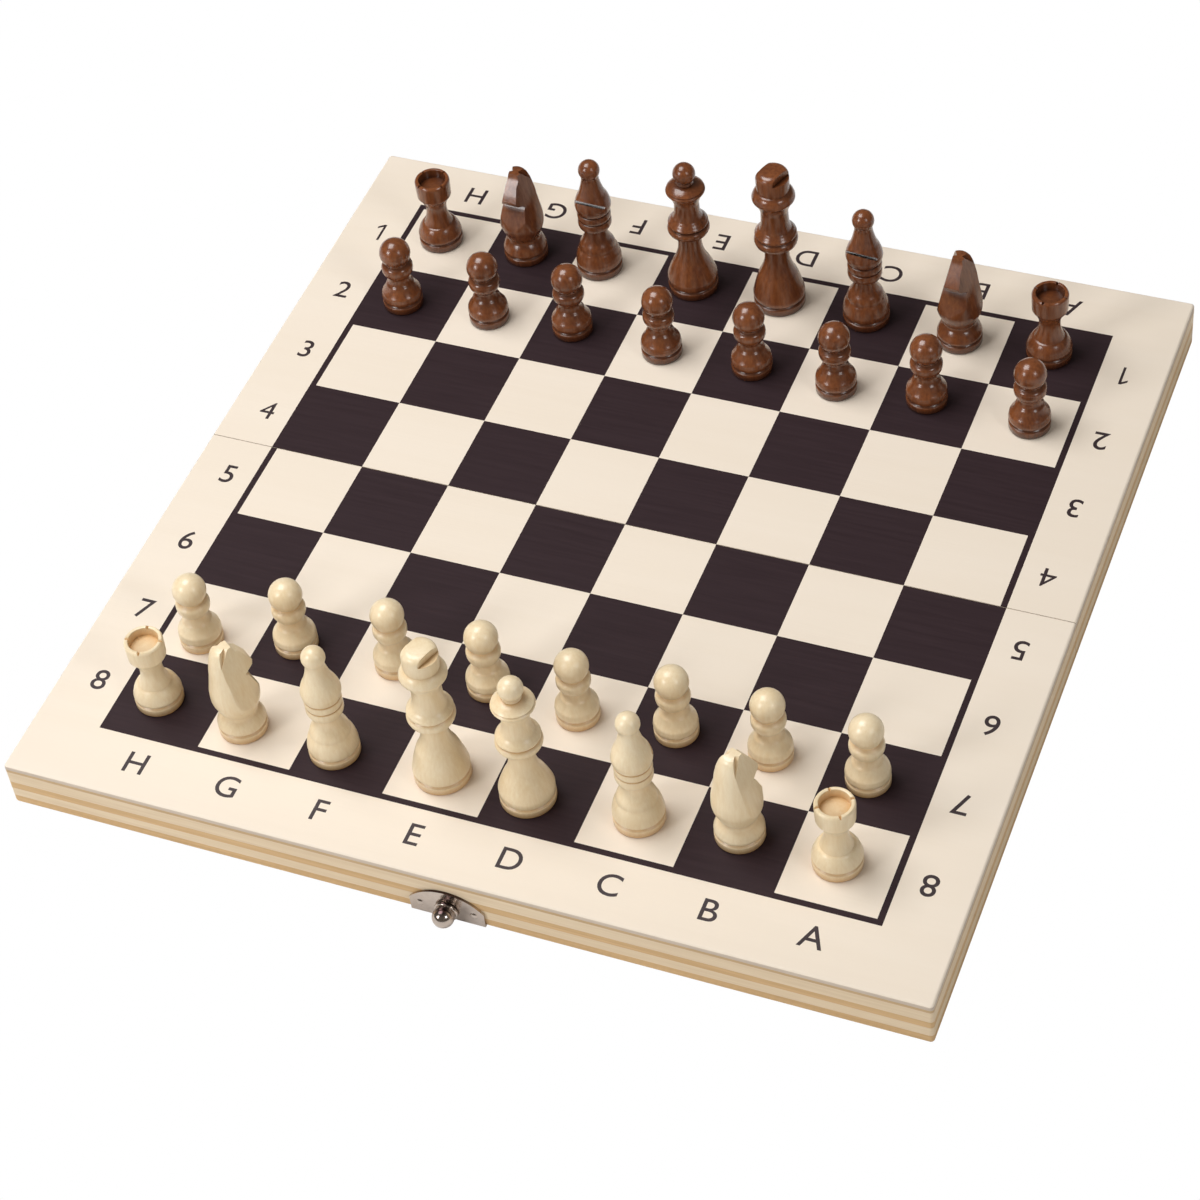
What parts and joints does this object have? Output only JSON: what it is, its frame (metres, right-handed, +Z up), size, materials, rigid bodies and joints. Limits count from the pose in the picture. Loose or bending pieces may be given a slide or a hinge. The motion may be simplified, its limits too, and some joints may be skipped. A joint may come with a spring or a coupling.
{
  "type": "folding chess set",
  "caption": "Wooden box that folds out flat into a chequered board with lettered borders, with a nickel latch at the edge and turned light and brown chessmen on their squares.",
  "frame": {"origin": "middle of the fold line on the plane of the rims, which is the underside of the opened board", "axes": "+X to the right along the fold, +Y from the light men and the latch to the brown men, +Z up through the playing surface"},
  "size_m": [0.289, 0.3005, 0.0744],
  "materials": {
    "printed_board": "flat ply printed with dark squares, border and letters under a satin varnish",
    "striped_ply": "satin, layered in tan and pale bands",
    "latch_metal": "bright nickel plate, lightly worn",
    "light_wood": "clear satin varnish on pale wood",
    "brown_wood": "glossy reddish brown lacquer"
  },
  "bodies": {
    "near_half": {"near_panel": "printed_board", "near_outer_rail": "striped_ply", "near_left_rail": "striped_ply", "near_right_rail": "striped_ply", "near_fold_rail": "striped_ply", "left_hinge_near_leaf": "latch_metal", "right_hinge_near_leaf": "latch_metal", "left_hinge_pin": "latch_metal", "right_hinge_pin": "latch_metal", "near_hinge_screws": "latch_metal", "latch_plate": "latch_metal", "latch_nails": "latch_metal"},
    "far_half": {"far_panel": "printed_board", "far_outer_rail": "striped_ply", "far_left_rail": "striped_ply", "far_right_rail": "striped_ply", "far_fold_rail": "striped_ply", "left_hinge_far_leaf": "latch_metal", "right_hinge_far_leaf": "latch_metal", "far_hinge_screws": "latch_metal", "keeper_plate": "latch_metal", "keeper_nails": "latch_metal"},
    "latch_catch": {"latch_catch": "latch_metal", "latch_knob": "latch_metal"},
    "white_king": {"white_king": "light_wood"},
    "white_queen": {"white_queen": "light_wood"},
    "white_bishop_c": {"white_bishop_c": "light_wood"},
    "white_bishop_f": {"white_bishop_f": "light_wood"},
    "white_knight_b": {"white_knight_b": "light_wood"},
    "white_knight_g": {"white_knight_g": "light_wood"},
    "white_rook_a": {"white_rook_a": "light_wood"},
    "white_rook_h": {"white_rook_h": "light_wood"},
    "white_pawn_a": {"white_pawn_a": "light_wood"},
    "white_pawn_b": {"white_pawn_b": "light_wood"},
    "white_pawn_c": {"white_pawn_c": "light_wood"},
    "white_pawn_d": {"white_pawn_d": "light_wood"},
    "white_pawn_e": {"white_pawn_e": "light_wood"},
    "white_pawn_f": {"white_pawn_f": "light_wood"},
    "white_pawn_g": {"white_pawn_g": "light_wood"},
    "white_pawn_h": {"white_pawn_h": "light_wood"},
    "brown_king": {"brown_king": "brown_wood"},
    "brown_queen": {"brown_queen": "brown_wood"},
    "brown_bishop_c": {"brown_bishop_c": "brown_wood"},
    "brown_bishop_f": {"brown_bishop_f": "brown_wood"},
    "brown_knight_b": {"brown_knight_b": "brown_wood"},
    "brown_knight_g": {"brown_knight_g": "brown_wood"},
    "brown_rook_a": {"brown_rook_a": "brown_wood"},
    "brown_rook_h": {"brown_rook_h": "brown_wood"},
    "brown_pawn_a": {"brown_pawn_a": "brown_wood"},
    "brown_pawn_b": {"brown_pawn_b": "brown_wood"},
    "brown_pawn_c": {"brown_pawn_c": "brown_wood"},
    "brown_pawn_d": {"brown_pawn_d": "brown_wood"},
    "brown_pawn_e": {"brown_pawn_e": "brown_wood"},
    "brown_pawn_f": {"brown_pawn_f": "brown_wood"},
    "brown_pawn_g": {"brown_pawn_g": "brown_wood"},
    "brown_pawn_h": {"brown_pawn_h": "brown_wood"}
  },
  "joints": [
    {"name": "fold_hinge", "type": "hinge", "parent": "near_half", "child": "far_half", "pos_m": [0, 0, 0], "axis": [-1, 0, 0], "range_deg": [0, 180]},
    {"name": "latch_slide", "type": "slide", "parent": "near_half", "child": "latch_catch", "axis": [0, 0, 1], "range_m": [0, 0.0015]},
    {"name": "white_king_lift", "type": "slide", "parent": "near_half", "child": "white_king", "axis": [0, 0, 1], "range_m": [0, 0.08]},
    {"name": "white_queen_lift", "type": "slide", "parent": "near_half", "child": "white_queen", "axis": [0, 0, 1], "range_m": [0, 0.08]},
    {"name": "white_bishop_c_lift", "type": "slide", "parent": "near_half", "child": "white_bishop_c", "axis": [0, 0, 1], "range_m": [0, 0.08]},
    {"name": "white_bishop_f_lift", "type": "slide", "parent": "near_half", "child": "white_bishop_f", "axis": [0, 0, 1], "range_m": [0, 0.08]},
    {"name": "white_knight_b_lift", "type": "slide", "parent": "near_half", "child": "white_knight_b", "axis": [0, 0, 1], "range_m": [0, 0.08]},
    {"name": "white_knight_g_lift", "type": "slide", "parent": "near_half", "child": "white_knight_g", "axis": [0, 0, 1], "range_m": [0, 0.08]},
    {"name": "white_rook_a_lift", "type": "slide", "parent": "near_half", "child": "white_rook_a", "axis": [0, 0, 1], "range_m": [0, 0.08]},
    {"name": "white_rook_h_lift", "type": "slide", "parent": "near_half", "child": "white_rook_h", "axis": [0, 0, 1], "range_m": [0, 0.08]},
    {"name": "white_pawn_a_lift", "type": "slide", "parent": "near_half", "child": "white_pawn_a", "axis": [0, 0, 1], "range_m": [0, 0.08]},
    {"name": "white_pawn_b_lift", "type": "slide", "parent": "near_half", "child": "white_pawn_b", "axis": [0, 0, 1], "range_m": [0, 0.08]},
    {"name": "white_pawn_c_lift", "type": "slide", "parent": "near_half", "child": "white_pawn_c", "axis": [0, 0, 1], "range_m": [0, 0.08]},
    {"name": "white_pawn_d_lift", "type": "slide", "parent": "near_half", "child": "white_pawn_d", "axis": [0, 0, 1], "range_m": [0, 0.08]},
    {"name": "white_pawn_e_lift", "type": "slide", "parent": "near_half", "child": "white_pawn_e", "axis": [0, 0, 1], "range_m": [0, 0.08]},
    {"name": "white_pawn_f_lift", "type": "slide", "parent": "near_half", "child": "white_pawn_f", "axis": [0, 0, 1], "range_m": [0, 0.08]},
    {"name": "white_pawn_g_lift", "type": "slide", "parent": "near_half", "child": "white_pawn_g", "axis": [0, 0, 1], "range_m": [0, 0.08]},
    {"name": "white_pawn_h_lift", "type": "slide", "parent": "near_half", "child": "white_pawn_h", "axis": [0, 0, 1], "range_m": [0, 0.08]},
    {"name": "brown_king_lift", "type": "slide", "parent": "far_half", "child": "brown_king", "axis": [0, 0, 1], "range_m": [0, 0.08]},
    {"name": "brown_queen_lift", "type": "slide", "parent": "far_half", "child": "brown_queen", "axis": [0, 0, 1], "range_m": [0, 0.08]},
    {"name": "brown_bishop_c_lift", "type": "slide", "parent": "far_half", "child": "brown_bishop_c", "axis": [0, 0, 1], "range_m": [0, 0.08]},
    {"name": "brown_bishop_f_lift", "type": "slide", "parent": "far_half", "child": "brown_bishop_f", "axis": [0, 0, 1], "range_m": [0, 0.08]},
    {"name": "brown_knight_b_lift", "type": "slide", "parent": "far_half", "child": "brown_knight_b", "axis": [0, 0, 1], "range_m": [0, 0.08]},
    {"name": "brown_knight_g_lift", "type": "slide", "parent": "far_half", "child": "brown_knight_g", "axis": [0, 0, 1], "range_m": [0, 0.08]},
    {"name": "brown_rook_a_lift", "type": "slide", "parent": "far_half", "child": "brown_rook_a", "axis": [0, 0, 1], "range_m": [0, 0.08]},
    {"name": "brown_rook_h_lift", "type": "slide", "parent": "far_half", "child": "brown_rook_h", "axis": [0, 0, 1], "range_m": [0, 0.08]},
    {"name": "brown_pawn_a_lift", "type": "slide", "parent": "far_half", "child": "brown_pawn_a", "axis": [0, 0, 1], "range_m": [0, 0.08]},
    {"name": "brown_pawn_b_lift", "type": "slide", "parent": "far_half", "child": "brown_pawn_b", "axis": [0, 0, 1], "range_m": [0, 0.08]},
    {"name": "brown_pawn_c_lift", "type": "slide", "parent": "far_half", "child": "brown_pawn_c", "axis": [0, 0, 1], "range_m": [0, 0.08]},
    {"name": "brown_pawn_d_lift", "type": "slide", "parent": "far_half", "child": "brown_pawn_d", "axis": [0, 0, 1], "range_m": [0, 0.08]},
    {"name": "brown_pawn_e_lift", "type": "slide", "parent": "far_half", "child": "brown_pawn_e", "axis": [0, 0, 1], "range_m": [0, 0.08]},
    {"name": "brown_pawn_f_lift", "type": "slide", "parent": "far_half", "child": "brown_pawn_f", "axis": [0, 0, 1], "range_m": [0, 0.08]},
    {"name": "brown_pawn_g_lift", "type": "slide", "parent": "far_half", "child": "brown_pawn_g", "axis": [0, 0, 1], "range_m": [0, 0.08]},
    {"name": "brown_pawn_h_lift", "type": "slide", "parent": "far_half", "child": "brown_pawn_h", "axis": [0, 0, 1], "range_m": [0, 0.08]}
  ]
}
